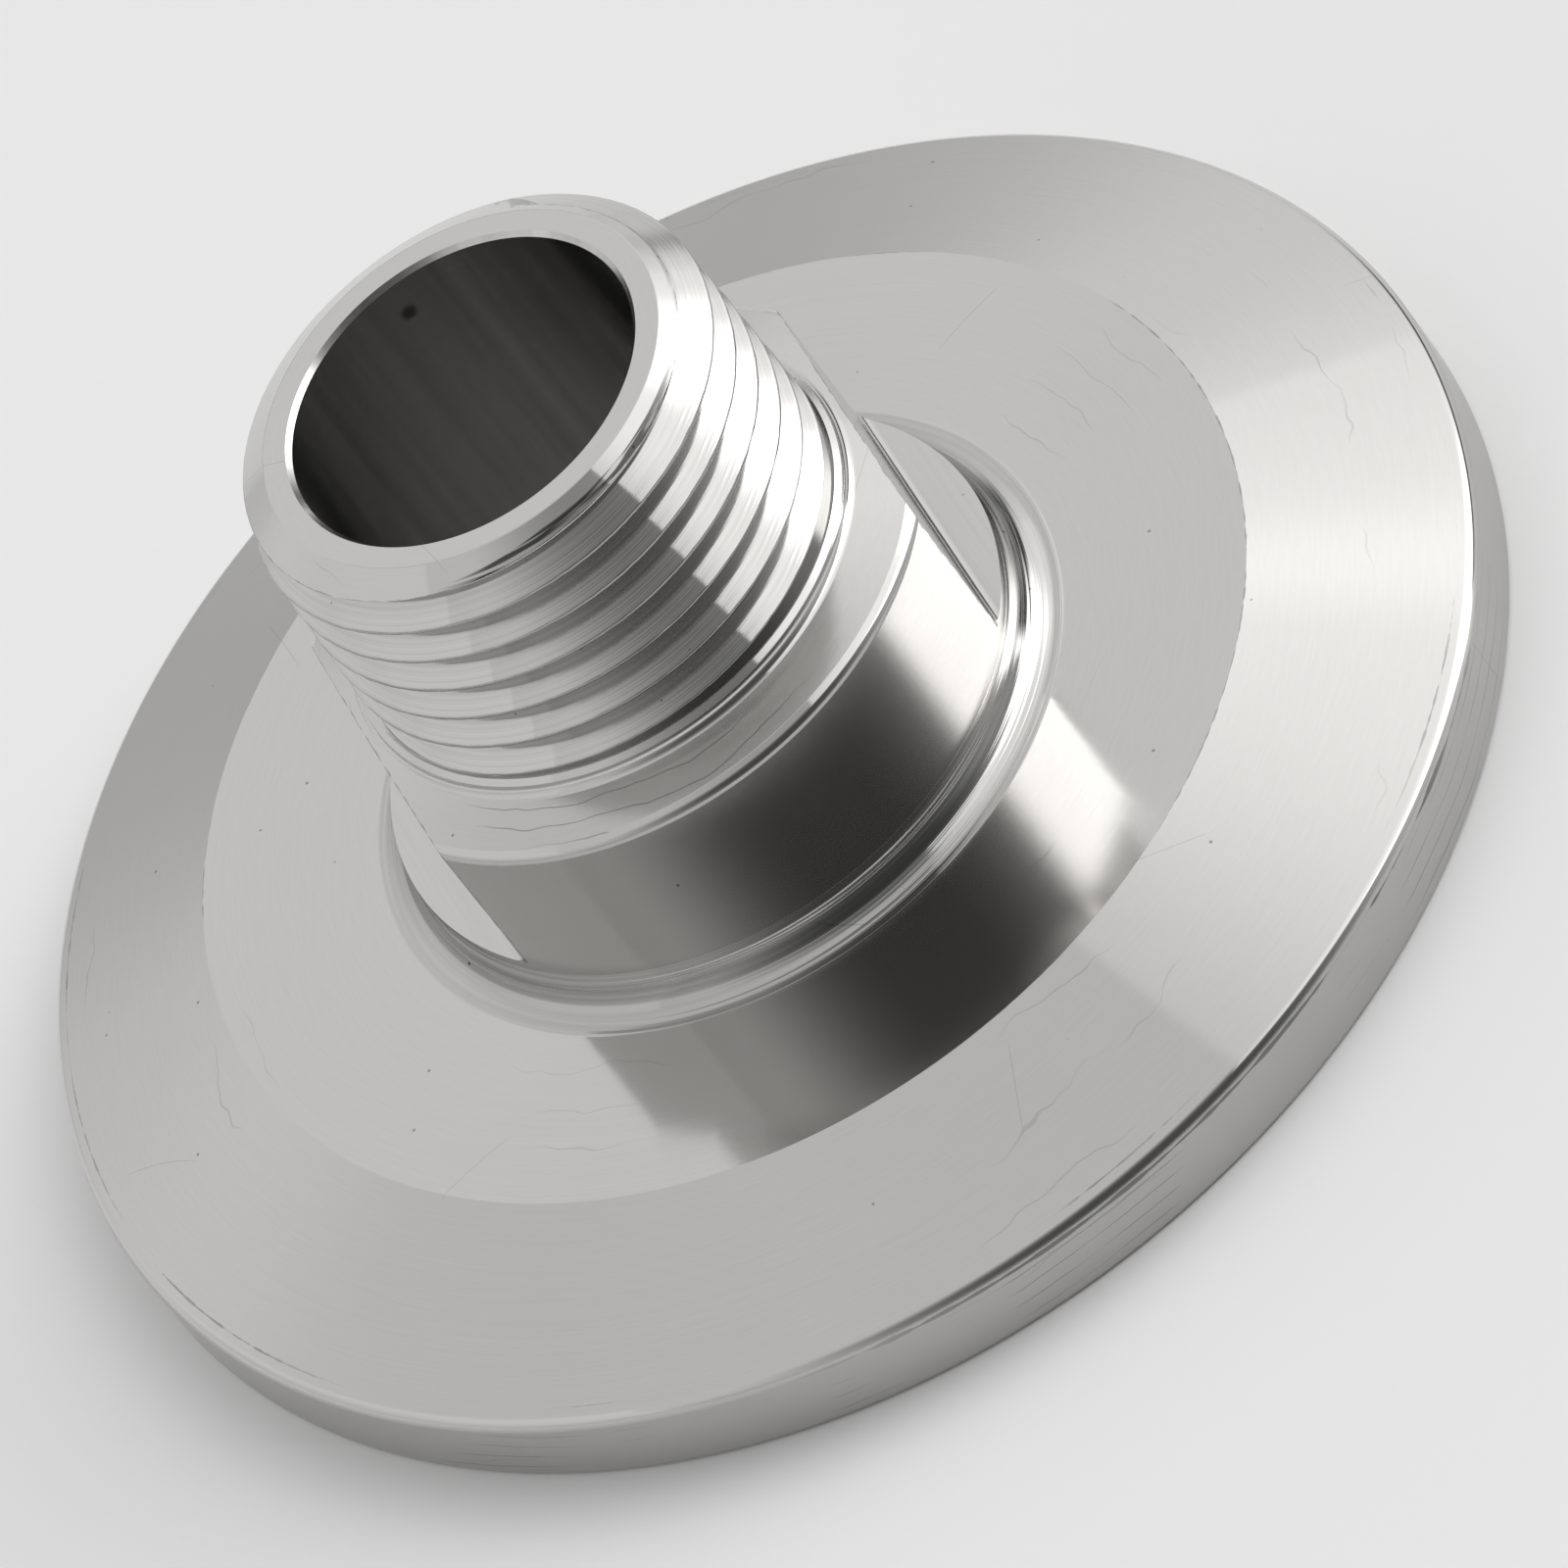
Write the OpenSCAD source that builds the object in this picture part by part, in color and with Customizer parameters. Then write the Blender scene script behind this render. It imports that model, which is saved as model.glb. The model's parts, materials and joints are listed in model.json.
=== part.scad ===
// Sanitary clamp adapter with a tapered pipe thread.
// One bar-turned stainless part. It stands on its sealing face at z = 0 and the thread points up.
// The wrench flats face +X and -X. Lengths are in millimetres, angles in degrees.

/* [Clamp flange] */
// Outside diameter of the clamp flange
flange_d = 64; // [60:0.5:70]
// Height of the rim's sharp corner above the sealing face
rim_h = 3.4; // [2.8:0.1:4.4]
// Slope of the clamp bevel
bevel_angle = 20; // [16:0.5:24]
// Diameter at which the bevel meets the flat top of the flange
flat_top_d = 46.9; // [40:0.1:50]
// Radius on the upper corner of the rim
rim_round = 0.5; // [0.2:0.05:0.8]
// Radius on the lower corner of the rim
base_round = 0.3; // [0.1:0.05:0.6]

/* [Gasket groove] */
// Diameter of the groove's centre line in the sealing face
groove_d = 56.4; // [54:0.1:58]
// Radius of the half-round groove
groove_r = 1.6; // [1.2:0.1:2]

/* [Hub] */
// Diameter of the hub
hub_d = 27.4; // [26:0.1:32]
// Height of the hub from the flange's flat top to its upper edge
hub_h = 9.7; // [7:0.1:14]
// Radius of the fillet between the hub and the flange
foot_round = 1.7; // [1:0.1:2.5]
// Height of the break on the hub's upper edge
edge_h = 0.24; // [0.1:0.02:0.4]
// Width of the break on the hub's upper edge
edge_w = 0.42; // [0.2:0.02:0.6]
// Rise of the shoulder cone from the hub's edge to the collar
shoulder_rise = 0.6; // [0.2:0.05:1]

/* [Wrench flats] */
// Distance across the two wrench flats
flats_w = 23; // [22.4:0.1:25]
// Height of the milled floors above the flange's flat top
flats_floor = 2.2; // [1.8:0.1:5]
// Radius that the cutter leaves between a flat and its floor
cutter_round = 0.4; // [0.2:0.05:0.8]

/* [Collar] */
// Diameter of the collar under the thread
collar_d = 21.9; // [21.6:0.1:22.3]
// Height of the collar above the shoulder cone
collar_h = 0.65; // [0.5:0.05:1.5]
// Radius of the fillet between the collar and the shoulder cone
collar_round = 0.5; // [0.2:0.05:0.6]

/* [Pipe thread] */
// Threads in one inch, 14 for the half inch pipe size
threads_per_inch = 14; // [11.5:0.5:18]
// Diameter over the crests at the tip face, before the chamfer
crest_d = 20.7; // [20.2:0.05:21.2]
// Depth of the thread from crest to root
thread_depth = 1.1; // [0.8:0.05:1.3]
// Length along the axis in which the diameter grows by one
taper_length = 16; // [12:1:24]
// Width of the flat on the crest and in the root
thread_flat = 0.12; // [0.06:0.01:0.2]
// Length from the collar to the tip face
thread_l = 11.4; // [9:0.1:20]
// Diameter of the flat ring at the tip
tip_d = 17.5; // [17:0.1:18.4]
// Slope of the chamfer between the tip face and the thread
tip_angle = 33; // [28:1:45]
// Direction in which the crest line reaches the tip face
thread_clock = -81; // [-180:1:180]
// Height of the root above the collar down to which the last groove keeps its full depth
runout_start = 0.8; // [0.6:0.05:1.5]
// Further fall of the root over which the last groove fades to nothing
runout_l = 0.6; // [0.3:0.05:1]

/* [Bore] */
// Diameter of the through bore
bore_d = 15.1; // [12:0.1:15.4]
// Size of the chamfer at both ends of the bore
bore_chamfer = 0.3; // [0.1:0.05:0.6]

/* [Hidden] */
$fn = 96;
inch = 25.4;
// heights above the sealing face, from the bottom up
flat_top_z = rim_h + (flange_d - flat_top_d) / 2 * tan(bevel_angle);
floor_z = flat_top_z + flats_floor;
hub_z = flat_top_z + hub_h;
shoulder_z = hub_z + shoulder_rise;
collar_z = shoulder_z + collar_h;
tip_z = collar_z + thread_l;
// slope of the shoulder cone
shoulder_angle = atan(shoulder_rise / (hub_d / 2 - edge_w - collar_d / 2));
// the thread starts inside the collar, so that the two solids overlap
sunk = collar_h / 2;
pitch = inch / threads_per_inch;
// height of one flank along the axis
flank_h = pitch / 2 - thread_flat;
// columns round the axis and the range of turns, counted from the tip face
columns = 40;
first_turn = floor((collar_z - sunk - tip_z) / pitch + thread_clock / 360 - 1);
last_turn = ceil(thread_clock / 360 + 0.2);
rows = 4 * (last_turn - first_turn + 1);

function unit(a) = [cos(a), sin(a)];

// Piece between a corner and the arc that rounds it, with the two edges leaving at a1 and a2.
module corner(at, a1, a2, r) {
    half = (a2 - a1) / 2;
    centre = at + unit(a1 + half) * r / sin(half);
    reach = r / tan(half);
    difference() {
        polygon([at, at + unit(a1) * reach, centre, at + unit(a2) * reach]);
        translate(centre) circle(r = r);
    }
}

// Half section of the flange, the hub and the collar, left solid in the middle.
module body_section() {
    difference() {
        union() {
            polygon([
                [0, 0],
                [flange_d / 2, 0],
                [flange_d / 2, rim_h],
                [flat_top_d / 2, flat_top_z],
                [hub_d / 2, flat_top_z],
                [hub_d / 2, hub_z - edge_h],
                [hub_d / 2 - edge_w, hub_z],
                [collar_d / 2, shoulder_z],
                [collar_d / 2, collar_z],
                [0, collar_z]
            ]);
            corner([hub_d / 2, flat_top_z], 0, 90, foot_round);
            corner([collar_d / 2, shoulder_z], -shoulder_angle, 90, collar_round);
        }
        corner([flange_d / 2, 0], 90, 180, base_round);
        corner([flange_d / 2, rim_h], 180 - bevel_angle, 270, rim_round);
        translate([groove_d / 2, 0]) circle(r = groove_r);
    }
}

// Half section of what the tip face and its chamfer leave of the thread.
module thread_envelope() {
    reach = 2 * thread_depth;
    rotate_extrude() polygon([
        [0, collar_z - sunk],
        [tip_d / 2 + reach, collar_z - sunk],
        [tip_d / 2 + reach, tip_z - reach * tan(tip_angle)],
        [tip_d / 2, tip_z],
        [0, tip_z]
    ]);
}

// Radius of the uncut taper at a height, and depth of a groove by the height of its root.
function taper_r(z) = (crest_d + (tip_z - z) / taper_length) / 2;
function groove_depth(root_z) =
    thread_depth * min(1, max(0, (root_z - collar_z - runout_start) / runout_l + 1));

// Middle of the crest under a groove. It climbs one pitch in a turn.
function crest_z(column, row) =
    tip_z + pitch * (column / columns - thread_clock / 360 + first_turn + floor(row / 4));

// Four knots in a pitch: the two ends of the crest, then the two ends of the root.
function knot(column, row) =
    let (
        low = crest_z(column, row),
        crest_end = thread_flat / 2,
        root_end = pitch / 2 + crest_end,
        z = low + [-crest_end, crest_end, crest_end + flank_h, root_end][row % 4],
        r = taper_r(z) - (row % 4 < 2 ? 0 : groove_depth(low + pitch / 2))
    )
    concat(r * unit(360 * column / columns), z);

// Index of a knot. The column after the last one is the first, one turn further up.
function at(column, row) = column < columns ? column * rows + row : row + 4;

// Right-hand tapered thread with even flanks, over-long at both ends.
module thread_solid() {
    knots = [for (c = [0:columns - 1], k = [0:rows - 1]) knot(c, k)];
    low = len(knots);
    high = low + 1;
    sides = [
        for (c = [0:columns - 1], k = [0:rows - 2])
            if (c < columns - 1 || k < rows - 5)
                each [
                    [at(c, k), at(c, k + 1), at(c + 1, k + 1)],
                    [at(c, k), at(c + 1, k + 1), at(c + 1, k)]
                ]
    ];
    // edge loops of the two ends, each with the step of one turn
    bottom = [for (c = [0:columns - 1]) at(c, 0), for (k = [4:-1:1]) at(0, k)];
    top = [for (c = [0:columns - 1]) at(c, rows - 1), for (k = [2:5]) at(columns - 1, rows - k)];
    polyhedron(
        points = concat(knots, [[0, 0, knots[0][2] - pitch], [0, 0, knots[rows - 1][2] + 2 * pitch]]),
        faces = concat(
            sides,
            [for (i = [0:len(bottom) - 1]) [low, bottom[i], bottom[(i + 1) % len(bottom)]]],
            [for (i = [0:len(top) - 1]) [high, top[(i + 1) % len(top)], top[i]]]
        )
    );
}

// Bore with its two chamfers, as the solid that is taken away.
module bore() {
    wide = bore_d / 2 + 2 * bore_chamfer;
    rotate_extrude() polygon([
        [0, -bore_chamfer],
        [wide, -bore_chamfer],
        [bore_d / 2, bore_chamfer],
        [bore_d / 2, tip_z - bore_chamfer],
        [wide, tip_z + bore_chamfer],
        [0, tip_z + bore_chamfer]
    ]);
}

// One wrench flat on the +X side: what the cutter takes off the hub.
module flat_cut() {
    rotate([90, 0, 0])
        linear_extrude(height = hub_d, center = true)
            difference() {
                translate([flats_w / 2, floor_z]) square([hub_d, tip_z]);
                corner([flats_w / 2, floor_z], 0, 90, cutter_round);
            }
}

module threaded_adapter() {
    color([0.72, 0.71, 0.69])
        difference() {
            union() {
                rotate_extrude() body_section();
                intersection() {
                    thread_solid();
                    thread_envelope();
                }
            }
            bore();
            flat_cut();
            mirror([1, 0, 0]) flat_cut();
        }
}

threaded_adapter();
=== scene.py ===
import json
from math import cos, pi, radians, sin, tan

import bmesh
import bpy
import numpy as np
from mathutils import Matrix, Vector


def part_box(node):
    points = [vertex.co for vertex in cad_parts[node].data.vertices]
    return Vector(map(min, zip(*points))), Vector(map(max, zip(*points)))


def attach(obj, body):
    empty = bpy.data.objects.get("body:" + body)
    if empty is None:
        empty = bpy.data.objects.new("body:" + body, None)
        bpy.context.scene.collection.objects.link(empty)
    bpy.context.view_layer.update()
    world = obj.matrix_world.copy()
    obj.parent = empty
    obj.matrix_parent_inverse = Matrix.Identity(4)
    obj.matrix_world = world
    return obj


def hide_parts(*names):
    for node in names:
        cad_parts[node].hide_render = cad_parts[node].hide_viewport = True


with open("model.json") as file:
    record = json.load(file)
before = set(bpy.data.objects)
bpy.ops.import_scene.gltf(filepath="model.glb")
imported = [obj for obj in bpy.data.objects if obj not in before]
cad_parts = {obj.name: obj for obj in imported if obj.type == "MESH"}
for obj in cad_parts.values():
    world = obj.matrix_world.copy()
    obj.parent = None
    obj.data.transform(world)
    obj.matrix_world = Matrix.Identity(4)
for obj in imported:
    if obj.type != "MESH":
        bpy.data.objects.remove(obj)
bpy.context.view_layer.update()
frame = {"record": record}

# Bar-turned blank. The real part starts as a stainless bar: the clamp flange, the hub and the collar
# are turned on it in one clamping, with a round-nosed tool at the hub's foot.
MM = 0.001
COLUMNS = 360
adapter_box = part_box("threaded_adapter")
mounts = {mount["name"]: mount for mount in frame["record"]["mounts"]}
flange_r = adapter_box[1].x
tip_z = adapter_box[1].z
rim_h = 3.4 * MM
rim_round = 0.6 * MM
base_round = 0.3 * MM
bevel_slope = radians(20)
flat_top_r = 23.45 * MM
flat_top_z = rim_h + (flange_r - flat_top_r) * tan(bevel_slope)
groove_centre_r = 28.2 * MM
groove_r = 1.6 * MM
hub_r = 13.7 * MM
hub_z = flat_top_z + 9.7 * MM
foot_round = 1.7 * MM
edge_break_h = 0.24 * MM
edge_break_w = 0.42 * MM
edge_soft = 0.45 * MM
edge_crisp = 0.15 * MM
shoulder_z = hub_z + 0.6 * MM
collar_r = 10.95 * MM
collar_z = shoulder_z + 0.65 * MM
collar_round = 0.45 * MM
collar_break_h = 0.185 * MM
collar_break_soft = 0.03 * MM
# a stub of the uncut bar stands above the collar, where the last groove fades out
uncut_r = 10.69 * MM
stub_foot_round = 0.05 * MM
stub_z = collar_z + 0.24 * MM


def turned_edge(corners, arc_step=9):
    """Half section as stretches of (point, normal) pairs: a corner is (r, z, rounding)."""
    points = [Vector(corner[:2]) for corner in corners]
    ahead = [(b - a).normalized() for a, b in zip(points, points[1:])]
    stretches = []
    start = points[0]
    for i, way in enumerate(ahead):
        side = Vector((way.y, -way.x))
        last = i == len(ahead) - 1
        turn = 0 if last else way.angle_signed(ahead[i + 1])
        rounding = 0 if last else corners[i + 1][2]
        end = points[i + 1] - way * rounding * abs(tan(turn / 2))
        stretches.append([(start, side), (end, side)])
        start = end
        if rounding:
            steps = max(2, round(abs(turn) / radians(arc_step)))
            bulge = 1 if turn < 0 else -1
            centre = end - side * rounding * bulge
            arc = []
            for k in range(steps + 1):
                way_out = side.copy()
                way_out.rotate(Matrix.Rotation(-turn * k / steps, 2))
                arc.append((centre + way_out * rounding * bulge, way_out))
            stretches.append(arc)
            start = arc[-1][0]
    return stretches


def scooped(centre_r, z, radius, steps=24):
    """Half-round groove in an underside, from its outer lip to its inner lip."""
    turns = [pi * k / steps for k in range(steps + 1)]
    return [
        (Vector((centre_r - radius * cos(a), z + radius * sin(a))), Vector((cos(a), -sin(a))))
        for a in turns
    ]


def node(tree, kind, inputs=None, **settings):
    """Adds a node, sets what is given for it and links the inputs that are given as sockets."""
    made = tree.nodes.new(kind)
    for name, value in settings.items():
        setattr(made, name, value)
    for name, value in (inputs or {}).items():
        if isinstance(value, bpy.types.NodeSocket):
            tree.links.new(value, made.inputs[name])
        else:
            made.inputs[name].default_value = value
    return made


def math(tree, operation, a, b=0.0, c=0.0):
    return node(tree, "ShaderNodeMath", {0: a, 1: b, 2: c}, operation=operation).outputs[0]


def span(tree, value, low, high, to_low=0.0, to_high=1.0, soft=False):
    kind = "SMOOTHSTEP" if soft else "LINEAR"
    inputs = {"Value": value, "From Min": low, "From Max": high, "To Min": to_low, "To Max": to_high}
    return node(tree, "ShaderNodeMapRange", inputs, interpolation_type=kind).outputs[0]


def named_inputs(tree, *names):
    """Opens a geometry tree with a Geometry socket and one float or whole-number socket a name."""
    tree.interface.new_socket("Geometry", in_out="INPUT", socket_type="NodeSocketGeometry")
    tree.interface.new_socket("Geometry", in_out="OUTPUT", socket_type="NodeSocketGeometry")
    for name in names:
        whole = "Int" if name in ("Columns", "Rows", "Pitch Rows") else "Float"
        tree.interface.new_socket(name, in_out="INPUT", socket_type="NodeSocket" + whole)
    tree.interface.new_socket("Material", in_out="INPUT", socket_type="NodeSocketMaterial")
    return tree.nodes.new("NodeGroupInput").outputs


def grow(name, mesh, tree, **values):
    """Runs a geometry tree on a mesh with the given sizes and returns the plain result."""
    grown = bpy.data.objects.new(name, mesh)
    bpy.context.scene.collection.objects.link(grown)
    modifier = grown.modifiers.new(name, "NODES")
    modifier.node_group = tree
    for item in tree.interface.items_tree:
        key = item.name.replace(" ", "_").lower()
        if item.in_out == "INPUT" and key in values:
            modifier[item.identifier] = values[key]
    graph = bpy.context.evaluated_depsgraph_get()
    result = bpy.data.meshes.new_from_object(grown.evaluated_get(graph))
    bpy.data.objects.remove(grown)
    return result


def material(name):
    made = bpy.data.materials.new(name)
    made.use_nodes = True
    made.node_tree.nodes.clear()
    return made


turned_steel = material("turned steel")
threaded_steel = material("threaded steel")
milled_steel = material("milled steel")
bored_steel = material("bored steel")


def spokes(tree, given):
    """A flat grid with a column for each spoke, and its points' rows, shares of a turn and angles."""
    columns = math(tree, "ADD", given["Columns"], 1)
    sides = {"Vertices X": columns, "Vertices Y": given["Rows"]}
    grid = node(tree, "GeometryNodeMeshGrid", sides).outputs["Mesh"]
    index = node(tree, "GeometryNodeInputIndex").outputs[0]
    column = math(tree, "FLOOR", math(tree, "DIVIDE", math(tree, "ADD", index, 0.5), given["Rows"]))
    row = math(tree, "SUBTRACT", index, math(tree, "MULTIPLY", column, given["Rows"]))
    turn_share = math(tree, "DIVIDE", column, given["Columns"])
    return grid, row, turn_share, math(tree, "MULTIPLY", turn_share, 2 * pi)


def at_row(tree, given, row, field):
    """A value of the section's points, read at the given row."""
    inputs = {"Geometry": given["Geometry"], "Value": field, "Index": row}
    return node(tree, "GeometryNodeSampleIndex", inputs, data_type="FLOAT_VECTOR").outputs[0]


def section_fields(tree):
    """The place and the normal of the section's points."""
    place = node(tree, "GeometryNodeInputPosition").outputs[0]
    named = {"Name": "profile_normal"}
    normal = node(tree, "GeometryNodeInputNamedAttribute", named, data_type="FLOAT_VECTOR").outputs[0]
    return place, normal


def turned_by(tree, vector, angle):
    inputs = {"Vector": vector, "Angle": angle}
    return node(tree, "ShaderNodeVectorRotate", inputs, rotation_type="Z_AXIS").outputs[0]


def stored_normals(tree, grid, normal):
    """Keeps each point's normal in the corners of its faces."""
    on_points = node(
        tree,
        "GeometryNodeFieldOnDomain",
        {"Value": normal},
        data_type="FLOAT_VECTOR",
        domain="POINT",
    ).outputs[0]
    return node(
        tree,
        "GeometryNodeStoreNamedAttribute",
        {"Geometry": grid, "Name": "true_normal", "Value": on_points},
        data_type="FLOAT_VECTOR",
        domain="CORNER",
    ).outputs[0]


def shaped(tree, given, grid, place):
    """Moves the grid to its shape and ends the tree with the finish on it."""
    moved = node(tree, "GeometryNodeSetPosition", {"Geometry": grid, "Position": place})
    plain = node(tree, "GeometryNodeRealizeInstances", {"Geometry": moved.outputs[0]})
    finish = {"Geometry": plain.outputs[0], "Material": given["Material"]}
    coated = node(tree, "GeometryNodeSetMaterial", finish)
    node(tree, "NodeGroupOutput", {"Geometry": coated.outputs[0]})


# the lathe: each point of the half section becomes a ring of columns round the axis
lathe = bpy.data.node_groups.new("lathe", "GeometryNodeTree")
given = named_inputs(lathe, "Columns", "Rows")
ring_grid, row, turn_share, angle = spokes(lathe, given)
section_place, section_normal = section_fields(lathe)
ring_normal = turned_by(lathe, at_row(lathe, given, row, section_normal), angle)
ring_place = turned_by(lathe, at_row(lathe, given, row, section_place), angle)
shaped(lathe, given, stored_normals(lathe, ring_grid, ring_normal), ring_place)

# points closer than this are one point, and edges shorter than this are dropped
weld = 0.0005 * MM
sliver = 0.0004 * MM


def faced_out(bm):
    """Turns all faces of a closed shell outwards."""
    bmesh.ops.recalc_face_normals(bm, faces=bm.faces)
    if bm.calc_volume(signed=True) < 0:
        bmesh.ops.reverse_faces(bm, faces=bm.faces)


def closed(name, mesh, inside_out=False):
    """Merges the seams and drops the empty rings. A cutter's normals point into the part."""
    bm = bmesh.new()
    bm.from_mesh(mesh)
    bmesh.ops.remove_doubles(bm, verts=bm.verts, dist=weld)
    bmesh.ops.dissolve_degenerate(bm, edges=bm.edges, dist=sliver)
    faced_out(bm)
    if inside_out:
        layer = bm.loops.layers.float_vector["true_normal"]
        for face in bm.faces:
            for loop in face.loops:
                loop[layer] = -loop[layer]
    bm.to_mesh(mesh)
    bm.free()
    made = bpy.data.objects.new(name, mesh)
    bpy.context.scene.collection.objects.link(made)
    return made


def section_mesh(name, points):
    """The points of a half section as a mesh, each with its normal."""
    mesh = bpy.data.meshes.new(name)
    mesh.from_pydata([(p.x, 0, p.y) for p, n in points], [], [])
    normals = mesh.attributes.new("profile_normal", "FLOAT_VECTOR", "POINT")
    normals.data.foreach_set("vector", [v for p, n in points for v in (n.x, 0, n.y)])
    return mesh


def turned(name, stretches, finish, inside_out=False):
    """Solid of revolution with the true normal of its half section in every corner."""
    points = [pair for stretch in stretches for pair in stretch]
    section = section_mesh(name + " section", points)
    rings = grow(name, section, lathe, columns=COLUMNS, rows=len(points), material=finish)
    return closed(name, rings, inside_out)


underside = turned_edge([(0, 0, 0), (groove_centre_r - groove_r, 0, 0)])
groove = scooped(groove_centre_r, 0, groove_r)
above_groove = turned_edge([
    (groove_centre_r + groove_r, 0, 0),
    (flange_r, 0, base_round),
    (flange_r, rim_h, rim_round),
    (flat_top_r, flat_top_z, 0),
    (hub_r, flat_top_z, foot_round),
    (hub_r, hub_z - edge_break_h, edge_soft),
    (hub_r - edge_break_w, hub_z, edge_crisp),
    (collar_r, shoulder_z, collar_round),
    (collar_r, collar_z - collar_break_h, collar_break_soft),
    (uncut_r, collar_z, stub_foot_round),
    (uncut_r, stub_z, 0),
    (0, stub_z, 0),
])
blank = turned("turned_adapter", underside + [groove] + above_groove, turned_steel)

# Pipe thread. It is cut on the same lathe with a 60 degree tip that follows the taper of one in
# sixteen. The last groove fades out where the tip leaves the bar, and the tip face is chamfered.
pitch = 25.4 / 14 * MM
thread_depth = 1.1 * MM
crest_r = 10.35 * MM
taper_length = 16
thread_flat = 0.12 * MM
thread_clock = radians(-81)
fade_low = collar_z + 0.2 * MM
fade_high = collar_z + 0.8 * MM
tip_r = 8.75 * MM
tip_slope = radians(33)
tip_round = 0.15 * MM
sunk = 0.325 * MM
crest_round = 0.05 * MM
root_round = 0.08 * MM
flank_h = pitch / 2 - thread_flat
crest_tear = 0.015 * MM
tear_reach = 0.06 * MM
tear_cells = 1600.0
tear_gain = 4.0
turns = round((tip_z - collar_z) / pitch + 2.5)

# one pitch of the thread, from crest to crest, as depth below the taper and height
pitch_edge = turned_edge(
    [
        (0, 0, 0),
        (0, thread_flat / 2, crest_round),
        (-thread_depth, thread_flat / 2 + flank_h, root_round),
        (-thread_depth, thread_flat * 1.5 + flank_h, root_round),
        (0, pitch - thread_flat / 2, crest_round),
        (0, pitch, 0),
    ],
    arc_step=18,
)
pitch_points = [pair for stretch in pitch_edge for pair in stretch]

# the screw cutter: the points of one pitch wind up round the axis, on the taper
screw = bpy.data.node_groups.new("tapered thread", "GeometryNodeTree")
given = named_inputs(
    screw, "Columns", "Rows", "Pitch Rows", "Pitch", "Crest Radius", "Taper Length", "Tip Height",
    "Start", "Fade Low", "Fade High", "Tear",
)
helix_grid, row, turn_share, angle = spokes(screw, given)
rows_done = math(screw, "DIVIDE", math(screw, "ADD", row, 0.5), given["Pitch Rows"])
groove_number = math(screw, "FLOOR", rows_done)
pitch_row = math(screw, "SUBTRACT", row, math(screw, "MULTIPLY", groove_number, given["Pitch Rows"]))


def from_edge(field):
    """The two parts, out and up, of a value of the edge of one pitch."""
    value = at_row(screw, given, pitch_row, field)
    parts = node(screw, "ShaderNodeSeparateXYZ", {0: value}).outputs
    return parts["X"], parts["Z"]


def wound(out, along, up):
    """A place or way given on its spoke, turned round the axis to where the spoke stands."""
    spoke = node(screw, "ShaderNodeCombineXYZ", {"X": out, "Y": along, "Z": up}).outputs[0]
    return turned_by(screw, spoke, angle)


edge_place, edge_normal = section_fields(screw)
depth_out, rise = from_edge(edge_place)
normal_out, normal_up = from_edge(edge_normal)
wound_turns = math(screw, "ADD", groove_number, turn_share)
crest_height = math(screw, "MULTIPLY_ADD", wound_turns, given["Pitch"], given["Start"])
root_height = math(screw, "MULTIPLY_ADD", given["Pitch"], 0.5, crest_height)
fade = span(screw, root_height, given["Fade Low"], given["Fade High"], soft=True)
height = math(screw, "ADD", crest_height, rise)
below_tip = math(screw, "SUBTRACT", given["Tip Height"], height)
taper = math(screw, "DIVIDE", math(screw, "DIVIDE", below_tip, given["Taper Length"]), 2)
radius = math(screw, "ADD", given["Crest Radius"], taper)
radius = math(screw, "MULTIPLY_ADD", depth_out, fade, radius)
normal_up = math(screw, "MULTIPLY", normal_up, fade)
lead = math(screw, "DIVIDE", math(screw, "DIVIDE", given["Pitch"], radius), -2 * pi)
helix_normal = wound(normal_out, math(screw, "MULTIPLY", normal_up, lead), normal_up)

# the tip tears the crest a little, so that its edge wanders
uncut_place = wound(radius, 0.0, height)
chatter = node(
    screw, "ShaderNodeTexNoise", {"Vector": uncut_place, "Scale": tear_cells, "Detail": 3.0}
)
tear = math(screw, "MULTIPLY", math(screw, "SUBTRACT", chatter.outputs["Fac"], 0.5), given["Tear"])
near_crest = span(screw, depth_out, -tear_reach, -0.01 * MM)
tear = math(screw, "MULTIPLY", math(screw, "MULTIPLY", tear, near_crest), tear_gain)
torn_radius = math(screw, "MINIMUM", math(screw, "SUBTRACT", radius, tear), radius)
ridge_place = wound(torn_radius, 0.0, math(screw, "ADD", height, tear))
shaped(screw, given, stored_normals(screw, helix_grid, helix_normal), ridge_place)

# the crest line that reaches the tip face at the clock angle, and whole turns below it
start_z = tip_z - pitch * thread_clock / (2 * pi) - pitch * turns
ridge_mesh = grow(
    "thread",
    section_mesh("thread section", pitch_points),
    screw,
    columns=COLUMNS,
    rows=len(pitch_points) * (turns + 1),
    pitch_rows=len(pitch_points),
    pitch=pitch,
    crest_radius=crest_r,
    taper_length=taper_length,
    tip_height=tip_z,
    start=start_z,
    fade_low=fade_low,
    fade_high=fade_high,
    tear=crest_tear,
    material=threaded_steel,
)


def capped(mesh):
    """Closes both ends of the ridges with a fan to the axis. The fans are cut off later."""
    bm = bmesh.new()
    bm.from_mesh(mesh)
    bmesh.ops.remove_doubles(bm, verts=bm.verts, dist=weld)
    bmesh.ops.dissolve_degenerate(bm, edges=bm.edges, dist=sliver)
    rim = [edge for edge in bm.edges if edge.is_boundary]
    middle = sum(vert.co.z for vert in bm.verts) / len(bm.verts)
    for level in (-1, 1):
        edges = [e for e in rim if (e.verts[0].co.z - middle) * level > 0]
        heights = [e.verts[0].co.z for e in edges]
        on_axis = bm.verts.new((0, 0, sum(heights) / len(heights)))
        for edge in edges:
            bm.faces.new((*edge.verts, on_axis))
    faced_out(bm)
    bm.to_mesh(mesh)
    bm.free()
    return mesh


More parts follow.
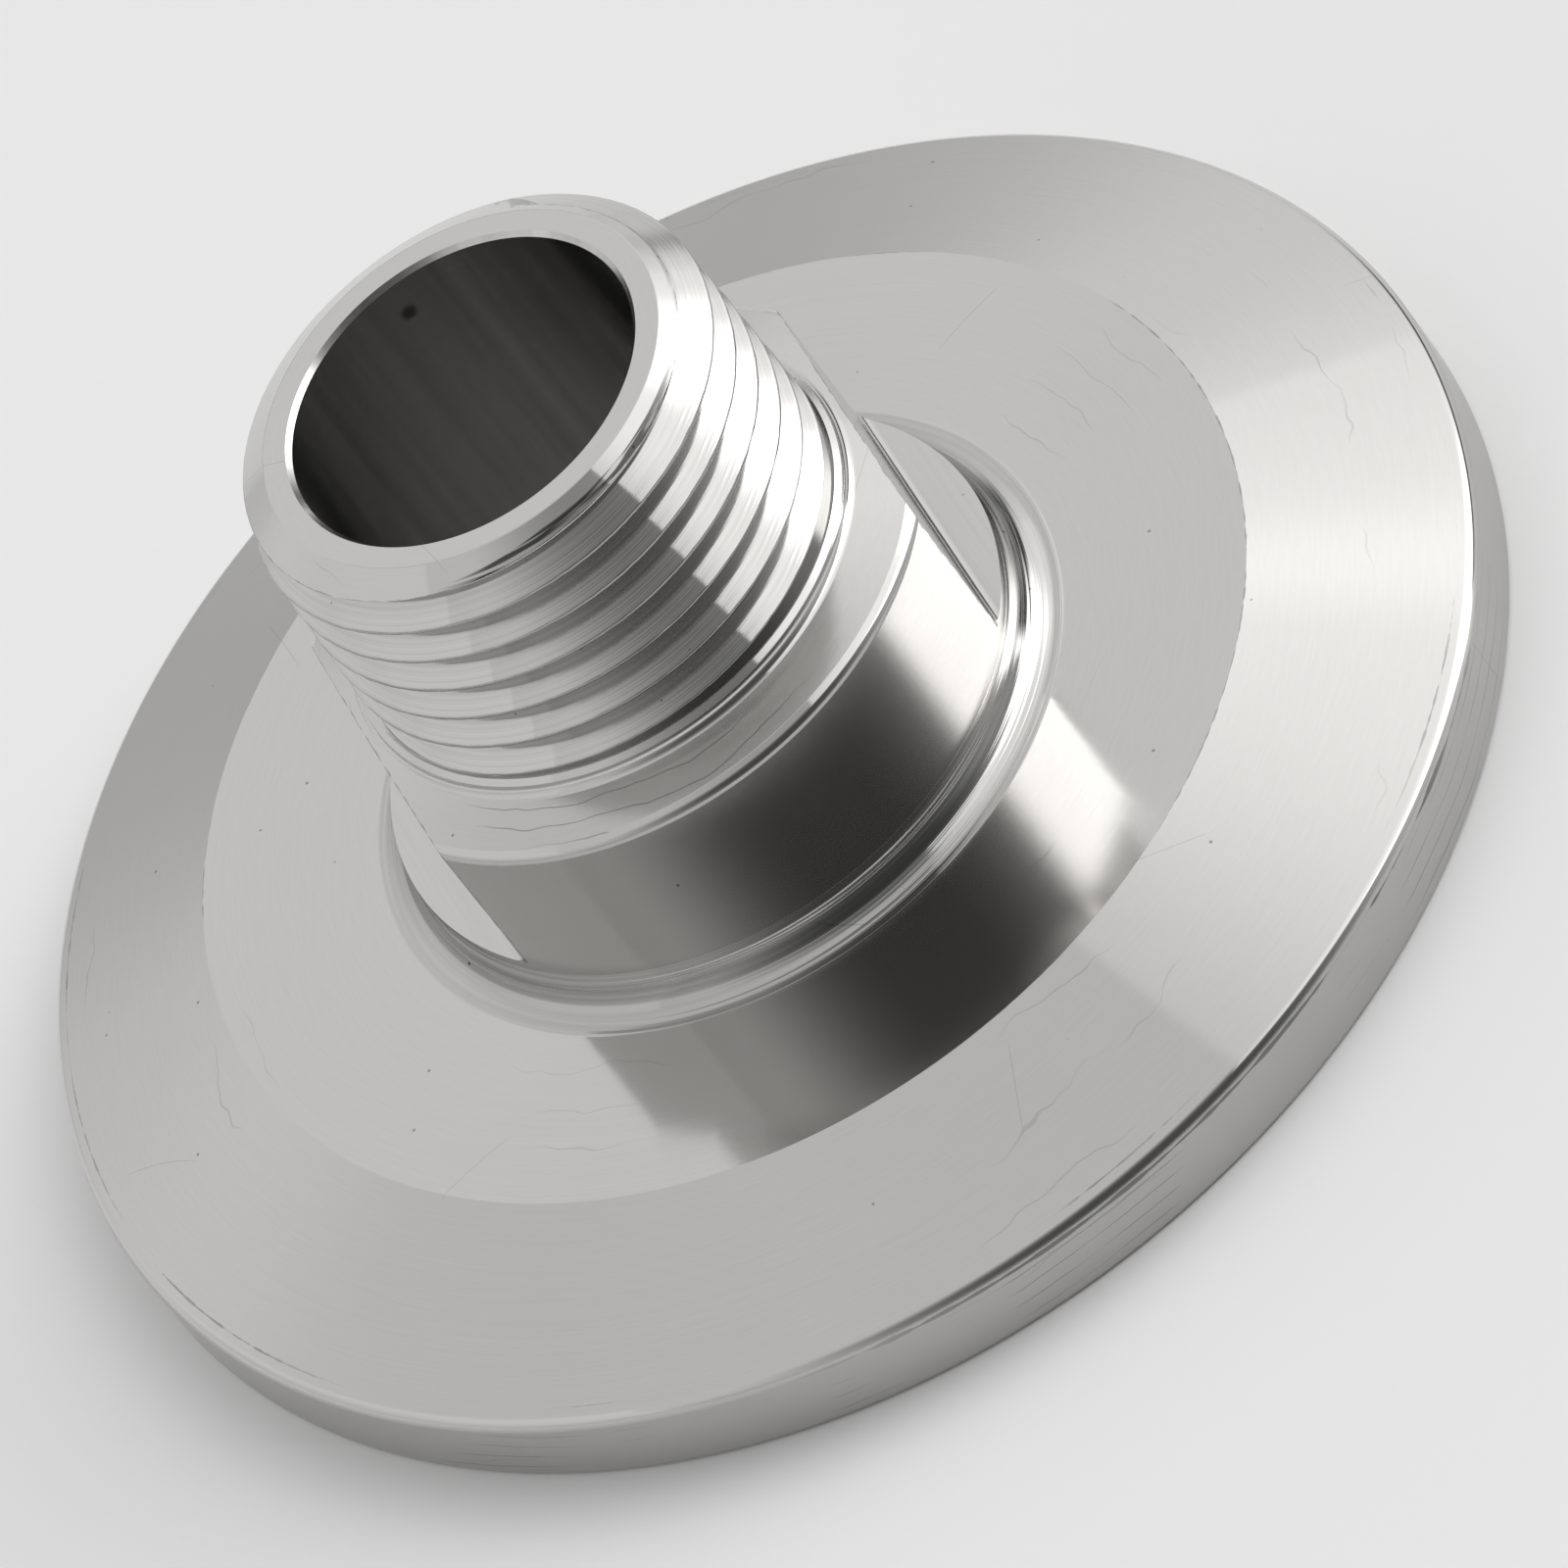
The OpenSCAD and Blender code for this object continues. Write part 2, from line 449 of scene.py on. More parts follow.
thread = bpy.data.objects.new("thread", capped(ridge_mesh))
bpy.context.scene.collection.objects.link(thread)
beyond = 3 * MM
envelope = turned(
    "thread envelope",
    turned_edge([
        (0, collar_z - sunk, 0),
        (tip_r + beyond, collar_z - sunk, 0),
        (tip_r + beyond, tip_z - beyond * tan(tip_slope), 0),
        (tip_r, tip_z, tip_round),
        (0, tip_z, 0),
    ]),
    turned_steel,
)

# Bore and wrench flats. The bore is drilled and bored through, with a small chamfer at each end.
# The two flats are milled last, and the cutter leaves a stepped floor above the flange.
bore_r = mounts["bore"]["dims"]["r_mm"] * MM
bore_chamfer = 0.2 * MM
flat_x = mounts["flat_right"]["pos_m"][0]
floor_z = flat_top_z + 2.2 * MM
cutter_round = 0.4 * MM
through = 2 * MM
bore_cutter = turned(
    "bore cutter",
    turned_edge([
        (0, -through, 0),
        (bore_r + bore_chamfer + through, -through, 0),
        (bore_r, bore_chamfer, 0),
        (bore_r, tip_z - bore_chamfer, 0),
        (bore_r + bore_chamfer + through, tip_z + through, 0),
        (0, tip_z + through, 0),
    ]),
    bored_steel,
    inside_out=True,
)


def inward_normals(mesh):
    """Stores a cutter's own normals, turned into the part, for the faces that it will cut."""
    layer = mesh.attributes.new("true_normal", "FLOAT_VECTOR", "CORNER")
    values = np.empty(len(mesh.loops) * 3, np.float32)
    mesh.corner_normals.foreach_get("vector", values)
    layer.data.foreach_set("vector", -values)
    return mesh


def flat_cutter(name, side):
    """What the milling cutter takes off one side of the hub, rounded at its lower corner."""
    reach = hub_r + through
    section = [p for stretch in turned_edge([
        (flat_x, tip_z, 0),
        (flat_x, floor_z, cutter_round),
        (reach, floor_z, 0),
        (reach, tip_z, 0),
    ]) for p, n in stretch]
    bm = bmesh.new()
    near = [bm.verts.new((side * p.x, -reach, p.y)) for p in section]
    bm.faces.new(near)
    swept = bmesh.ops.extrude_face_region(bm, geom=bm.faces[:] + bm.edges[:] + bm.verts[:])
    moved = [v for v in swept["geom"] if isinstance(v, bmesh.types.BMVert)]
    bmesh.ops.translate(bm, verts=moved, vec=(0, 2 * reach, 0))
    bmesh.ops.remove_doubles(bm, verts=bm.verts, dist=weld)
    bmesh.ops.recalc_face_normals(bm, faces=bm.faces)
    for face in bm.faces:
        face.smooth = True
    for edge in bm.edges:
        edge.smooth = edge.calc_face_angle(0) < radians(2)
    mesh = bpy.data.meshes.new(name)
    bm.to_mesh(mesh)
    bm.free()
    mesh.materials.append(milled_steel)
    cutter = bpy.data.objects.new(name, inward_normals(mesh))
    bpy.context.scene.collection.objects.link(cutter)
    return cutter


def machined(target, operation, *tools):
    """Joins or cuts with each tool in turn, then merges the slivers that this leaves at the seams."""
    name = target.name
    for tool in tools:
        modifier = target.modifiers.new(tool.name, "BOOLEAN")
        modifier.operation = operation
        modifier.object = tool
        modifier.solver = "EXACT"
        modifier.material_mode = "TRANSFER"
    graph = bpy.context.evaluated_depsgraph_get()
    mesh = bpy.data.meshes.new_from_object(target.evaluated_get(graph))
    for spent in (target, *tools):
        bpy.data.objects.remove(spent)
    return closed(name, mesh)


thread = machined(thread, "INTERSECT", envelope)
blank = machined(blank, "UNION", thread)
adapter = machined(
    blank, "DIFFERENCE", bore_cutter, flat_cutter("right cutter", 1), flat_cutter("left cutter", -1)
)


def shaded_true(mesh):
    """Gives every corner the normal of the surface that it was cut from."""
    stored = np.empty(len(mesh.loops) * 3, np.float32)
    mesh.attributes["true_normal"].data.foreach_get("vector", stored)
    stored = stored.reshape(-1, 3)
    length = np.linalg.norm(stored, axis=1, keepdims=True)
    mesh.shade_smooth()
    mesh.normals_split_custom_set((stored / np.maximum(length, 1e-6)).tolist())
    mesh.attributes.remove(mesh.attributes["true_normal"])


shaded_true(adapter.data)
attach(adapter, "root")
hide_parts("threaded_adapter")

# Finish. All of it is bare stainless steel with no coating. The lathe leaves fine rings round the
# axis, the cutter leaves straight lines on the flats, and handling has left specks and scratches.
BARE_STEEL = (0.625, 0.618, 0.602)


def output(tree, surface):
    node(tree, "ShaderNodeOutputMaterial", {"Surface": surface})


def parts_of(tree, vector):
    return node(tree, "ShaderNodeSeparateXYZ", {0: vector}).outputs


def noise(tree, x, y, z, scale, detail=3.0):
    """Noise over three values that need not be X, Y and Z of the part."""
    place = node(tree, "ShaderNodeCombineXYZ", {"X": x, "Y": y, "Z": z}).outputs[0]
    inputs = {"Vector": place, "Scale": scale, "Detail": detail}
    return node(tree, "ShaderNodeTexNoise", inputs).outputs["Fac"]


class Spot:
    """The shaded point of the part: its place, its distance from the axis and its way round it."""

    def __init__(self, tree):
        self.tree = tree
        self.place = node(tree, "ShaderNodeTexCoord").outputs["Object"]
        parts = parts_of(tree, self.place)
        self.x, self.y, self.z = parts["X"], parts["Y"], parts["Z"]
        flat = node(tree, "ShaderNodeCombineXYZ", {"X": self.x, "Y": self.y}).outputs[0]
        self.r = node(tree, "ShaderNodeVectorMath", {0: flat}, operation="LENGTH").outputs["Value"]
        way = node(tree, "ShaderNodeVectorMath", {0: flat}, operation="NORMALIZE").outputs[0]
        self.way = parts_of(tree, way)
        # this changes slowly on the way round, and marks that follow it slip along the turning
        self.drift = math(tree, "MULTIPLY_ADD", self.way["Y"], 1.3, self.way["X"])

    def rings(self, scale, slip=1.0, detail=3.0):
        """Turning marks: noise over radius and height that slips slowly on the way round."""
        slipped = math(self.tree, "MULTIPLY", self.drift, slip / scale)
        return noise(self.tree, self.r, self.z, slipped, scale, detail)

    def toward(self, azimuth):
        """Cosine of the angle round the axis between the point and an azimuth."""
        ways = {0: self.place, 1: (cos(azimuth), sin(azimuth), 0)}
        along = node(self.tree, "ShaderNodeVectorMath", ways, operation="DOT_PRODUCT")
        return math(self.tree, "DIVIDE", along.outputs["Value"], self.r)

    def within(self, value, low, high, soft):
        """One where the value lies between two limits."""
        over = span(self.tree, value, low - soft, low + soft)
        under = span(self.tree, value, high + soft, high - soft)
        return math(self.tree, "MULTIPLY", over, under)


def specks(spot, scale, size):
    """Small dark pits, one in each cell of a Voronoi pattern that the surface happens to meet."""
    cells = node(spot.tree, "ShaderNodeTexVoronoi", {"Vector": spot.place, "Scale": scale})
    return span(spot.tree, cells.outputs["Distance"], size * scale, size * scale * 0.5)


def torn(spot, value, at, width, scale=1500.0):
    """A ragged thin line where a length passes a given value. Its width wanders."""
    tree = spot.tree
    ragged = noise(tree, spot.x, spot.y, spot.z, scale, 2.0)
    off_line = math(tree, "ABSOLUTE", math(tree, "SUBTRACT", value, at))
    reach = span(tree, ragged, 0.35, 0.65, 0.2 * width, 1.6 * width)
    return span(tree, math(tree, "SUBTRACT", off_line, reach), 0.0, -0.4 * width)


def hairlines(spot, spacing, wander, width, share):
    """Long fine scratches along the turning, a few at a time, that wander a little."""
    tree = spot.tree
    drift = noise(tree, spot.x, spot.y, spot.z, 150.0, 3.0)
    across = math(tree, "MULTIPLY_ADD", drift, wander, math(tree, "ADD", spot.r, spot.z))
    place = math(tree, "PINGPONG", across, spacing)
    line = span(tree, place, width, width * 0.4)
    patches = noise(tree, spot.x, spot.y, spot.z, 110.0, 2.0)
    return math(tree, "MULTIPLY", line, span(tree, patches, 0.66 - share, 0.74 - share))


def nicks(spot, scale, length, width, share):
    """Short bent scratches of handling, one in some cells of a Voronoi pattern, in any direction."""
    tree = spot.tree
    cells = node(tree, "ShaderNodeTexVoronoi", {"Vector": spot.place, "Scale": scale}).outputs
    off = node(
        tree, "ShaderNodeVectorMath", {0: spot.place, 1: cells["Position"]}, operation="SUBTRACT"
    ).outputs[0]
    chance = node(tree, "ShaderNodeSeparateColor", {"Color": cells["Color"]}).outputs
    turned_off = node(
        tree,
        "ShaderNodeVectorRotate",
        {"Vector": off, "Angle": math(tree, "MULTIPLY", chance["Red"], 2 * pi)},
        rotation_type="Z_AXIS",
    ).outputs[0]
    run = parts_of(tree, turned_off)
    bow = math(tree, "MULTIPLY", math(tree, "MULTIPLY", run["X"], run["X"]), 90.0)
    bow = math(tree, "MULTIPLY", bow, math(tree, "SUBTRACT", chance["Green"], 0.5))
    side = math(tree, "ABSOLUTE", math(tree, "ADD", run["Y"], bow))
    line = span(tree, side, width, width * 0.3)
    end = span(tree, math(tree, "ABSOLUTE", run["X"]), length, length * 0.6)
    chosen = math(tree, "GREATER_THAN", chance["Blue"], 1.0 - share)
    return math(tree, "MULTIPLY", math(tree, "MULTIPLY", line, end), chosen)


def steel(spot, shade, relief, relief_depth, roughness, anisotropy, tangent=None):
    """Bare metal: a shade factor on its colour, a relief and its depth, and a brushed gloss."""
    tree = spot.tree
    colour = node(
        tree, "ShaderNodeVectorMath", {0: BARE_STEEL, "Scale": shade}, operation="SCALE"
    ).outputs[0]
    bump = node(
        tree, "ShaderNodeBump", {"Strength": 1.0, "Distance": relief_depth, "Height": relief}
    ).outputs[0]
    if tangent is None:
        tangent = node(tree, "ShaderNodeTangent", direction_type="RADIAL", axis="Z").outputs[0]
    shader = node(
        tree,
        "ShaderNodeBsdfPrincipled",
        {
            "Base Color": colour,
            "Metallic": 1.0,
            "Roughness": roughness,
            "Anisotropic": anisotropy,
            "Anisotropic Rotation": 0.25,
            "Normal": bump,
            "Tangent": tangent,
        },
    )
    output(tree, shader.outputs[0])


def thread_place(spot):
    """Share of a pitch above the last crest, and the radius of the uncut taper at this height."""
    tree = spot.tree
    round_share = math(tree, "MULTIPLY", math(tree, "ARCTAN2", spot.y, spot.x), -0.5 / pi)
    climbed = math(tree, "DIVIDE", math(tree, "SUBTRACT", spot.z, start_z), pitch)
    # nine whole pitches more keep it above nothing under the thread too
    pitches = math(tree, "ADD", math(tree, "ADD", climbed, round_share), 9.0)
    below_tip = math(tree, "SUBTRACT", tip_z, spot.z)
    uncut = math(tree, "MULTIPLY_ADD", below_tip, 0.5 / taper_length, crest_r)
    return math(tree, "FRACT", pitches), uncut


# turned faces: fine rings, coarser ones in the foot fillet with painted shade in it, a duller hub
# wall, and a rim with painted shade
lead_azimuth = radians(-36.6)
# azimuth of the side of the rim that has the painted dark reflection
dark_reflection_azimuth = radians(-71)
band_width = 0.38 * MM
band_outer_r = 9.62 * MM

# fineness of the turning marks and of the painted band lines, in noise cells a metre
fine_marks = 9000.0
band_shade_cells = 6500.0
foot_marks = 4300.0
coarse_marks = 2600.0

# how much brightness each mark, and each painted shade or painted dark reflection, takes off the
# steel
hub_dull = 0.25
rim_shade_dark = 0.18
pit_dark = 0.55
scratch_dark = 0.16
wear_and_reflection_dark = 0.40
foot_shade_dark = 0.30
crest_shade_dark = 0.45
spot = Spot(turned_steel.node_tree)
tree = spot.tree
on_hub = math(
    tree,
    "MULTIPLY",
    spot.within(spot.r, hub_r - 0.4 * MM, hub_r + 0.1 * MM, 0.02 * MM),
    spot.within(spot.z, flat_top_z + foot_round, hub_z - edge_break_h, 0.1 * MM),
)
# a band of painted shade in the foot fillet, near the hub
foot_shade_band = spot.within(spot.r, hub_r + 0.12 * MM, hub_r + 0.55 * MM, 0.05 * MM)
in_foot = math(
    tree,
    "MULTIPLY",
    spot.within(spot.r, hub_r - 0.1 * MM, hub_r + foot_round, 0.05 * MM),
    spot.within(spot.z, flat_top_z, flat_top_z + foot_round, 0.01 * MM),
)
on_rim = span(tree, spot.r, flange_r - 0.12 * MM, flange_r - 0.02 * MM)
fine_rings = spot.rings(fine_marks, 12.0, 1.0)
marks = math(tree, "MULTIPLY_ADD", spot.rings(coarse_marks, 1.5), 2.0, fine_rings)
foot_rings = spot.rings(foot_marks, 0.5, 2.0)
foot_bands = math(tree, "MULTIPLY", foot_rings, in_foot)
marks = math(tree, "MULTIPLY_ADD", foot_bands, 110.0, marks)
pits = specks(spot, 450.0, 0.09 * MM)
scratches = math(
    tree,
    "MAXIMUM",
    hairlines(spot, 0.9 * MM, 3.0 * MM, 0.035 * MM, 0.04),
    nicks(spot, 170.0, 2.2 * MM, 0.03 * MM, 0.16),
)
cloud = noise(tree, spot.x, spot.y, spot.z, 90.0, 4.0)

# the cone under the collar is scuffed, and so are the edges of the flats, the bevel and the rim
on_cone = spot.within(spot.z, hub_z - 0.02 * MM, shoulder_z + 0.02 * MM, 0.02 * MM)
scuffs = hairlines(spot, 0.33 * MM, 1.5 * MM, 0.03 * MM, 0.14)
scuffs = math(tree, "MULTIPLY", scuffs, on_cone)
above_floor = math(tree, "GREATER_THAN", spot.z, floor_z)
flat_edge = torn(spot, math(tree, "ABSOLUTE", spot.x), flat_x, 0.045 * MM)
flat_edge = math(tree, "MULTIPLY", flat_edge, above_floor)
worn = span(tree, noise(tree, spot.x, spot.y, spot.z, 70.0, 3.0), 0.52, 0.60)
bevel_foot = torn(spot, spot.r, flat_top_r, 0.03 * MM)
rim_edge = torn(spot, spot.r, flange_r - 0.7 * MM, 0.04 * MM)
edge_wear = math(tree, "MULTIPLY", math(tree, "MAXIMUM", bevel_foot, rim_edge), worn)
wear_and_dark_reflection = math(tree, "MAXIMUM", math(tree, "MAXIMUM", scuffs, flat_edge), edge_wear)

# the rim has fine scores along the turning, and a painted dark reflection runs as a torn line under
# its upper edge on one side
rim_scores = hairlines(spot, 0.35 * MM, 0.6 * MM, 0.025 * MM, 0.12)
wear_and_dark_reflection = math(tree, "MAXIMUM", wear_and_dark_reflection, math(tree, "MULTIPLY", rim_scores, on_rim))
# painted reflection: one side of the rim gets a dark torn line
dark_reflection_side = span(tree, spot.toward(dark_reflection_azimuth), 0.74, 0.92)
rim_dark_reflection = torn(spot, spot.z, rim_h - 0.34 * MM, 0.08 * MM, 420.0)
rim_dark_reflection = math(tree, "MULTIPLY", math(tree, "MULTIPLY", rim_dark_reflection, dark_reflection_side), on_rim)
wear_and_dark_reflection = math(tree, "MAXIMUM", wear_and_dark_reflection, math(tree, "MULTIPLY", rim_dark_reflection, 1.2))

# painted shade: a band of dark lines on the tip's chamfer stands in for the shade of the thread's
# lead-in, from one side of the chamfer round it
lead = span(tree, spot.toward(lead_azimuth), 0.087, 0.57)
band_start = math(tree, "MULTIPLY_ADD", lead, -band_width, band_outer_r)
shaded_band = span(tree, math(tree, "SUBTRACT", spot.r, band_start), -0.02 * MM, 0.02 * MM)
shaded_band = math(tree, "MULTIPLY", shaded_band, span(tree, lead, 0.0, 0.50))
shaded_band = math(tree, "MULTIPLY", shaded_band, span(tree, spot.way["Y"], -0.85, -0.50, 1.0, 0.30))
pitch_share, uncut = thread_place(spot)
crest_off = math(tree, "PINGPONG", pitch_share, 0.5)
flank_start = thread_flat / 2 / pitch
flank_end = flank_start + flank_h / pitch
cut_depth = span(tree, crest_off, flank_start, flank_end, 0.0, thread_depth)
thread_r = math(tree, "SUBTRACT", uncut, cut_depth)
# painted shade: a dark torn line where the chamfer meets the first groove
first_crest_shade = torn(spot, math(tree, "SUBTRACT", thread_r, spot.r), 0.0, 0.05 * MM)
near_tip = math(tree, "GREATER_THAN", spot.z, tip_z - 1.5 * MM)
first_crest_shade = math(tree, "MULTIPLY", first_crest_shade, near_tip)
# the band's painted dark lines
band_shade_lines = span(tree, spot.rings(band_shade_cells, 2.5, 2.0), 0.46, 0.60, -0.85, -0.10)

shade = math(tree, "MULTIPLY_ADD", on_hub, -hub_dull, 1.0)
# painted shade: the rim's colour is darkened all round; its rougher gloss is set further down
shade = math(tree, "MULTIPLY_ADD", on_rim, -rim_shade_dark, shade)
shade = math(tree, "MULTIPLY_ADD", pits, -pit_dark, shade)
shade = math(tree, "MULTIPLY_ADD", scratches, -scratch_dark, shade)
# real scuffs and edge wear, together with the rim's painted dark reflection
shade = math(tree, "MULTIPLY_ADD", wear_and_dark_reflection, -wear_and_reflection_dark, shade)
# painted shade in the foot fillet: darker on the whole, and in bands that follow its turning rings
shade = math(tree, "MULTIPLY_ADD", math(tree, "SUBTRACT", foot_bands, in_foot), 0.3, shade)
foot_shade_band = math(tree, "MULTIPLY", foot_shade_band, in_foot)
shade = math(tree, "MULTIPLY_ADD", foot_shade_band, -foot_shade_dark, shade)
shade = math(tree, "MULTIPLY_ADD", fine_rings, -0.05, math(tree, "ADD", shade, 0.025))
# painted shade of the lead-in band, near the tip
shaded_band = math(tree, "MULTIPLY", shaded_band, near_tip)
shade = math(tree, "MULTIPLY_ADD", shaded_band, math(tree, "MULTIPLY", band_shade_lines, shade), shade)
shade = math(tree, "MULTIPLY_ADD", first_crest_shade, -crest_shade_dark, shade)
shade = math(tree, "MULTIPLY_ADD", cloud, -0.06, math(tree, "ADD", shade, 0.03))
gloss = math(tree, "MULTIPLY_ADD", cloud, 0.03, 0.07)
gloss = math(tree, "MULTIPLY_ADD", on_rim, 0.12, gloss)
steel(spot, shade, marks, 0.0004 * MM, gloss, 1.0)

# thread: the tool leaves the same streaks along every flank, whatever the turn. They are noise on
# a ring that one pitch goes round once.
streak_ring = 4.5
spot = Spot(threaded_steel.node_tree)
tree = spot.tree
pitch_share, uncut = thread_place(spot)
phase = math(tree, "MULTIPLY", pitch_share, 2 * pi)
along = math(tree, "MULTIPLY", spot.drift, 0.9)
streaks = noise(
    tree,
    math(tree, "MULTIPLY", math(tree, "COSINE", phase), streak_ring),
    math(tree, "MULTIPLY", math(tree, "SINE", phase), streak_ring),
    along,
    1.0,
    2.0,
)
depth_share = math(tree, "DIVIDE", math(tree, "SUBTRACT", uncut, spot.r), thread_depth)
ragged = noise(tree, spot.x, spot.y, spot.z, 900.0, 3.0)
crest_width = span(tree, ragged, 0.35, 0.65, 0.012, 0.040)
on_crest = span(tree, math(tree, "SUBTRACT", depth_share, crest_width), 0.015, -0.01)
near_root = span(tree, depth_share, 0.30, 1.0, soft=True)
# the lower half of each pitch faces up, the upper half down
facing_down = span(tree, pitch_share, 0.50, 0.56)
pits = specks(spot, 600.0, 0.07 * MM)
shade = span(tree, streaks, 0.36, 0.62, 1.03, 0.91)
# painted shade: darker towards the groove roots, along the crests, and on the flanks that face down
shade = math(tree, "MULTIPLY", shade, math(tree, "MULTIPLY_ADD", near_root, -0.06, 1.0))
shade = math(tree, "MULTIPLY", shade, math(tree, "MULTIPLY_ADD", on_crest, -0.35, 1.0))
shade = math(tree, "MULTIPLY", shade, math(tree, "MULTIPLY_ADD", facing_down, -0.12, 1.0))
shade = math(tree, "MULTIPLY_ADD", pits, -0.5, shade)
not_down = span(tree, facing_down, 1.0, 0.0)
calm = math(tree, "MULTIPLY", span(tree, near_root, 1.0, 0.3), not_down)
relief = math(tree, "MULTIPLY", math(tree, "SUBTRACT", streaks, 0.5), calm)
steel(spot, shade, relief, 0.006 * MM, 0.06, 1.0)

# milled faces: straight lines along the flats
spot = Spot(milled_steel.node_tree)
tree = spot.tree
lengthwise = math(tree, "MULTIPLY", spot.y, 0.02)
lines = noise(tree, spot.x, lengthwise, spot.z, 5200.0, 3.0)
pits = specks(spot, 700.0, 0.06 * MM)
shade = math(tree, "MULTIPLY_ADD", lines, -0.10, 1.05)
shade = math(tree, "MULTIPLY_ADD", pits, -0.5, shade)
mill_way = node(tree, "ShaderNodeCombineXYZ", {"Y": 1.0}).outputs[0]
steel(spot, shade, lines, 0.0016 * MM, 0.12, 0.8, mill_way)

# bore: darker and rougher, with rings of the boring bar and stains that run down the wall
stain_ring = 9.0
spot = Spot(bored_steel.node_tree)
tree = spot.tree
round_x = math(tree, "MULTIPLY", spot.way["X"], stain_ring)
round_y = math(tree, "MULTIPLY", spot.way["Y"], stain_ring)
runs = noise(tree, round_x, round_y, math(tree, "MULTIPLY", spot.z, 25.0), 1.0, 4.0)
shade = math(tree, "MULTIPLY_ADD", runs, -0.6, 1.35)
stain_place = (-0.2 * MM, bore_r, tip_z - 1.8 * MM)
off_stain = node(
    tree, "ShaderNodeVectorMath", {0: spot.place, 1: stain_place}, operation="DISTANCE"
).outputs["Value"]
stain = span(tree, off_stain, 0.15 * MM, 0.5 * MM, 0.3, 1.0, soft=True)
shade = math(tree, "MULTIPLY", shade, stain)
steel(spot, shade, spot.rings(2400.0, 1.0), 0.004 * MM, 0.18, 0.7)

# Studio. The part stands on a pale table, with a large soft lamp panel on its right and light
# walls behind it. The dark of the room is on the camera's side.
table = bpy.data.meshes.new("table")
bm = bmesh.new()
bmesh.ops.create_grid(bm, x_segments=4, y_segments=4, size=4.0)
bmesh.ops.translate(bm, verts=bm.verts, vec=(0, 0, -0.01 * MM))
bm.to_mesh(table)
bm.free()
table_top = bpy.data.objects.new("table_top", table)
bpy.context.scene.collection.objects.link(table_top)
pale = material("pale table")
card = node(pale.node_tree, "ShaderNodeBsdfDiffuse", {"Color": (0.92, 0.92, 0.92, 1)})
output(pale.node_tree, card.outputs[0])
table.materials.append(pale)

view_azimuth = radians(-86.61)
view_elevation = radians(42.67)

room = bpy.data.worlds.new("room")
room.use_nodes = True
sky = room.node_tree
sky.nodes.clear()
way = node(sky, "ShaderNodeTexCoord").outputs["Generated"]
facing = node(
    sky, "ShaderNodeVectorRotate", {"Vector": way, "Angle": -view_azimuth}, rotation_type="Z_AXIS"
).outputs[0]


def cap(centre, inner, outer):
    """One inside a cone of directions and nothing outside it, soft in between."""
    middle = Vector(centre).normalized()
    near = node(sky, "ShaderNodeVectorMath", {0: facing, 1: middle}, operation="DOT_PRODUCT")
    return span(sky, near.outputs["Value"], cos(radians(outer)), cos(radians(inner)), soft=True)


def level_over(axis, low, high):
    """Rises from nothing to one between two values of one axis of the direction."""
    return span(sky, axes[axis], low, high, soft=True)


def beyond_plane(normal, blur):
    """One on the side of a great circle to which the normal points, nothing on the other."""
    side = node(sky, "ShaderNodeVectorMath", {0: facing, 1: normal}, operation="DOT_PRODUCT")
    return span(sky, side.outputs["Value"], -blur, blur, soft=True)


def mixed(share, first, second):
    return math(sky, "MULTIPLY_ADD", share, math(sky, "SUBTRACT", second, first), first)


def overlap(*masks):
    """One only where all the masks are one."""
    both = masks[0]
    for mask in masks[1:]:
        both = math(sky, "MULTIPLY", both, mask)
    return both


axes = node(sky, "ShaderNodeSeparateXYZ", {0: facing}).outputs
wall_level = 0.62
lamp_level = 0.70
dark_level = 0.08
table_edge_level = 0.06
room_gain = 1.15

# how much lighter or darker than that the walls and the lamp are in places
back_light = 0.10
far_dark = 0.14
low_dark = 0.12
corner_light = 0.24
left_light = 0.08
lamp_right_light = 0.45
lamp_low_light = 2.2

# light walls, a little brighter at the back and darker at the far side and low down
walls = math(sky, "MULTIPLY_ADD", level_over("X", -0.45, -0.75), back_light, wall_level)
walls = math(sky, "MULTIPLY_ADD", level_over("X", -0.85, -1.0), -far_dark, walls)
walls = math(sky, "MULTIPLY_ADD", level_over("Z", 0.60, 0.15), -low_dark, walls)

